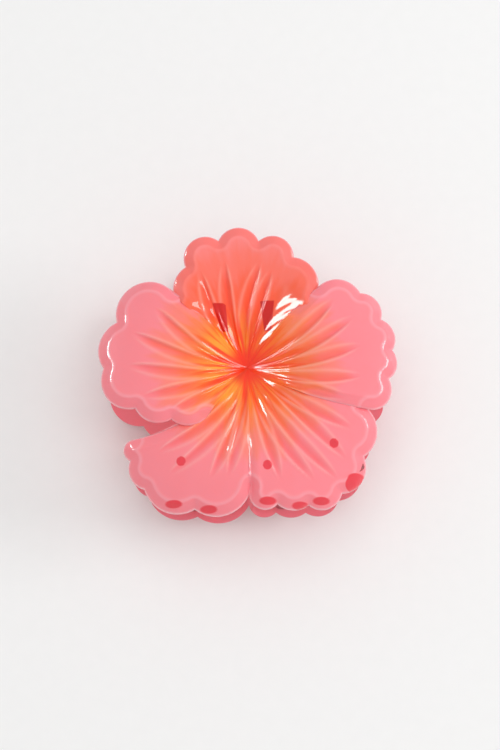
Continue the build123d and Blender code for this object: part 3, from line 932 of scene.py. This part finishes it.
def jaw(name, facing, teeth, first_ear_x, hole_radius, foot_x):
    """Five petals, two ears, two ribs, the teeth and the pads, united, with marks and finish."""
    pieces = []
    for number, petal in enumerate(PETALS):
        piece = petal_piece(petal, f"petal_{number}", jaw_finishes)
        if facing < 0:
            places = flower_middle + MM * mesh_points(piece) * [1, 1, -1]
            piece.data.vertices.foreach_set("co", places.ravel())
        face_outwards(piece)
        pieces.append(piece)
    ears = [ear_loops(HINGE_X + first_ear_x, hole_radius),
            ear_loops(HINGE_X - first_ear_x - EAR_WALL, hole_radius)]
    pieces.append(fitting("ears", ears, jaw_finishes, facing, capped=False))
    rib_gap = WIRE_RADIUS + RIB_CLEARANCE + RIB_HALF[0]
    ribs = [rib_loops(foot_x - rib_gap), rib_loops(foot_x + rib_gap)]
    pieces.append(fitting("ribs", ribs, jaw_finishes, facing))
    claws = [tooth_loops(x, radius) for x, radius in teeth]
    pieces.append(fitting("teeth", claws, jaw_finishes, facing))
    pads = [pad_loops(x, y) for x, y in PADS]
    pieces.append(fitting("pads", pads, jaw_finishes, facing, slot=PAINT_SLOT))
    moulding = united(name, pieces)
    write_marks(moulding, facing, teeth)
    moulding.data.shade_smooth()
    moulding.data.set_sharp_from_angle(angle=SHARP_EDGE)
    print(name, len(moulding.data.vertices), "vertices", len(moulding.data.polygons), "faces")
    return moulding


front_jaw = jaw("front_jaw_moulding", 1, FRONT_TEETH, SPRING_BAY / 2, PIN_RADIUS + PIN_CLEARANCE,
                HINGE_X + FOOT_OFFSET)
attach(front_jaw, "front_jaw")
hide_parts("front_petal_jaw")
rear_jaw = jaw("rear_jaw_moulding", -1, REAR_TEETH, SPRING_BAY / 2 + EAR_WALL + EAR_SIDE_PLAY,
               PIN_RADIUS, HINGE_X - FOOT_OFFSET)
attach(rear_jaw, "rear_jaw")
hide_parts("rear_petal_jaw")

# %% [markdown]
# ## Spring and pin
# The spring is one wire: a foot, a leg, the coil, a leg and a foot, with one foot under each
# jaw's handle.
# A circle carried along the wire's path draws it in one piece, with its bends where they are.

# %% The torsion spring
COIL_RADIUS = 2.6
COIL_WHOLE_TURNS = 6
FOOT_CLEARANCE = 0.15
KNEE_ROUND = 2.2
WIRE_SIDES = 14


def leg_points():
    """Front leg about the pin, in (y, z): knee and end of the foot, below the handle's face."""
    run = np.array([FOOT_START, FOOT_START + FOOT_LENGTH])
    face = crown(TOP, HINGE_Y + run) - SHELL - WIRE_RADIUS - FOOT_CLEARANCE
    return np.stack([run, face], -1)


def rounded_knee(before, knee, after, radius):
    """The knee as a parabola between the two points where a circle of that radius would touch
    the straight runs: (1 - t)^2 start + 2 t (1 - t) knee + t^2 end."""
    inward = (before - knee) / np.linalg.norm(before - knee)
    outward = (after - knee) / np.linalg.norm(after - knee)
    half = math.acos(float(inward @ outward)) / 2
    reach = radius / math.tan(half)
    t = np.linspace(0.0, 1.0, 9)[:, None]
    start, end = knee + reach * inward, knee + reach * outward
    return (1 - t) ** 2 * start + 2 * t * (1 - t) * knee + t ** 2 * end


def wire_path():
    """foot, knee, leg, helix (x = offset - pitch t, radius 2.6, angle = touch + 360 t), leg,
    knee and foot, as points about the hinge's middle."""
    knee, end = leg_points()
    touch_angle = math.atan2(knee[1], knee[0]) + math.acos(COIL_RADIUS / math.hypot(*knee))
    turns = COIL_WHOLE_TURNS + (2 * math.pi - 2 * touch_angle) / (2 * math.pi)
    touch = COIL_RADIUS * np.array([math.cos(touch_angle), math.sin(touch_angle)])
    touch_3d = np.array([LEG_OFFSET, *touch])
    knee_3d = np.array([FOOT_OFFSET, *knee])
    end_3d = np.array([FOOT_OFFSET, *end])
    bend = rounded_knee(touch_3d, knee_3d, end_3d, KNEE_ROUND)
    straight = np.linspace(0.0, 1.0, 24)[1:-1, None]
    leg = np.concatenate([
        [end_3d], bend[::-1], bend[0] + (touch_3d - bend[0]) * straight,
    ])
    sweep = np.linspace(0.0, 2 * np.pi * turns, int(turns * 40))
    helix = np.stack([
        LEG_OFFSET - 2 * LEG_OFFSET * sweep / sweep[-1],
        COIL_RADIUS * np.cos(touch_angle + sweep),
        COIL_RADIUS * np.sin(touch_angle + sweep),
    ], -1)
    rear_leg = leg[::-1] * [-1, 1, -1]
    return np.concatenate([leg, helix, rear_leg])


def wire_loops(path, radius):
    """Circles across the path.  The path hardly runs along X, so X less its part along the
    tangent, and the tangent turned by it, are the circle's two directions."""
    tangent = np.gradient(path, axis=0)
    tangent /= np.linalg.norm(tangent, axis=1)[:, None]
    first = np.array([1.0, 0.0, 0.0]) - tangent * tangent[:, :1]
    first /= np.linalg.norm(first, axis=1)[:, None]
    second = np.cross(tangent, first)
    turn = np.linspace(0.0, 2 * np.pi, WIRE_SIDES, endpoint=False)[:, None]
    ring = np.cos(turn) * first[:, None] + np.sin(turn) * second[:, None]
    loops = path[:, None] + radius * ring
    tip = path[:, None] + 0.75 * radius * ring
    return np.concatenate([
        tip[:1] - 0.12 * tangent[0], loops, tip[-1:] + 0.12 * tangent[-1],
    ])


spring_path = wire_path() + [HINGE_X, HINGE_Y, 0.0]
spring_points, spring_faces = loop_stack(wire_loops(spring_path, WIRE_RADIUS))
spring = new_piece("wound_spring", spring_points, spring_faces, 0, (spring_steel,))
face_outwards(spring)
spring.data.shade_smooth()
spring.data.set_sharp_from_angle(angle=SHARP_EDGE)
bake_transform(spring)
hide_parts("torsion_spring")
wire_length = np.linalg.norm(np.diff(spring_path, axis=0), axis=1).sum()
print("spring wire", round(float(wire_length), 1), "mm")

# %% [markdown]
# The pin keeps its CAD shape, a plain shank with a domed head, because a turned pin has no
# more to show.  It only gets its plating.

# %% The pin
frame["nodes"]["hinge_pin"].data.materials.clear()
frame["nodes"]["hinge_pin"].data.materials.append(nickel_plate)
print("pin finish", nickel_plate.name)

# %% [markdown]
# ## The set
# The clip lies on a pale matte sheet.  Paper is never one even grey: its fibres vary it a
# little, which noise at their scale gives.

# %% Floor
def paper_sheet():
    material, tree, shader = new_material("matte_paper", {"Roughness": 0.9,
                                                          "Specular IOR Level": 0.15})
    place = add_node(tree, "TexCoord", {}, "Object")
    fibre = add_node(tree, "TexNoise", {"Vector": place, "Scale": 260.0, "Detail": 4.0})
    tone = add_node(tree, "Mix", {0: fibre, 6: hex_colour("F0F1F1"), 7: hex_colour("F3F4F4")}, 2,
                    data_type="RGBA")
    tree.links.new(tone, shader.inputs["Base Color"])
    return material


FLOOR_HALF = 1.5
floor_low = cad_box[0][2]
floor_mesh = bpy.data.meshes.new("floor")
floor_mesh.from_pydata(
    [(-FLOOR_HALF, -FLOOR_HALF, floor_low), (FLOOR_HALF, -FLOOR_HALF, floor_low),
     (FLOOR_HALF, FLOOR_HALF, floor_low), (-FLOOR_HALF, FLOOR_HALF, floor_low)],
    [], [(0, 1, 2, 3)])
floor_mesh.materials.append(paper_sheet())
floor = bpy.data.objects.new("floor", floor_mesh)
bpy.context.scene.collection.objects.link(floor)
print("floor at", round(floor_low, 5), "m")

# %% [markdown]
# One wide softbox overhead lights the petals evenly; it isn't seen in the gloss, where its
# edges would cut across them.  Two smaller boxes draw the highlights: one low on the right for
# the veins' glints, and a card on the left whose reflection fills the handle's right flank.

# %% Lights
def softbox(name, azimuth, elevation, distance, size, radiance):
    """A square area light that looks at the clip.  Azimuth is from +X towards +Y, in degrees.
    Its power is pi x area x radiance."""
    light = bpy.data.lights.new(name, "AREA")
    light.shape = "SQUARE"
    light.size = size
    light.energy = math.pi * size ** 2 * radiance
    lamp = bpy.data.objects.new(name, light)
    bpy.context.scene.collection.objects.link(lamp)
    turn, rise = math.radians(azimuth), math.radians(elevation)
    away = np.array([math.cos(turn) * math.cos(rise), math.sin(turn) * math.cos(rise),
                     math.sin(rise)])
    lamp.location = away * distance
    lamp.rotation_euler = (math.pi / 2 - rise, 0.0, turn + math.pi / 2)
    return lamp


overhead = softbox("overhead_softbox", 60.0, 84.0, 1.4, 1.2, 1.6)
overhead.visible_glossy = False
softbox("right_softbox", 5.0, 28.0, 1.0, 0.36, 7.0)
reflection_card = softbox("left_reflection_card", 166.0, 28.0, 1.0, 0.3, 18.0)
reflection_card.visible_diffuse = False
world = bpy.data.worlds.new("studio")
world.use_nodes = True
world.node_tree.nodes["Background"].inputs[0].default_value = hex_colour("FFFDFC")
world.node_tree.nodes["Background"].inputs[1].default_value = 0.6
bpy.context.scene.world = world
bpy.context.scene.view_settings.view_transform = "Standard"

# %% [markdown]
# The camera looks down almost along the flower's axis, a little from the side of the lower
# petals, so the rear jaw shows below the front one.  Its lens is long enough to keep the
# petals' proportions.

# %% Camera
VIEW_ELEVATION = 80.0
VIEW_DISTANCE = 0.42
FRAME_WIDTH = 0.1357
AIM_OFFSET = (0.8, -0.2)

camera_data = bpy.data.cameras.new("camera")
camera_data.sensor_fit = "HORIZONTAL"
camera_data.sensor_width = 36.0
camera_data.lens = camera_data.sensor_width * VIEW_DISTANCE / FRAME_WIDTH
camera = bpy.data.objects.new("camera", camera_data)
bpy.context.scene.collection.objects.link(camera)
tilt = math.radians(VIEW_ELEVATION)
aim = flower_middle + MM * np.array([AIM_OFFSET[0], AIM_OFFSET[1], 0.0])
camera.location = aim + VIEW_DISTANCE * np.array([0.0, -math.cos(tilt), math.sin(tilt)])
camera.rotation_euler = (math.pi / 2 - tilt, 0.0, 0.0)
bpy.context.scene.camera = camera
print("lens", round(camera_data.lens, 1), "mm")
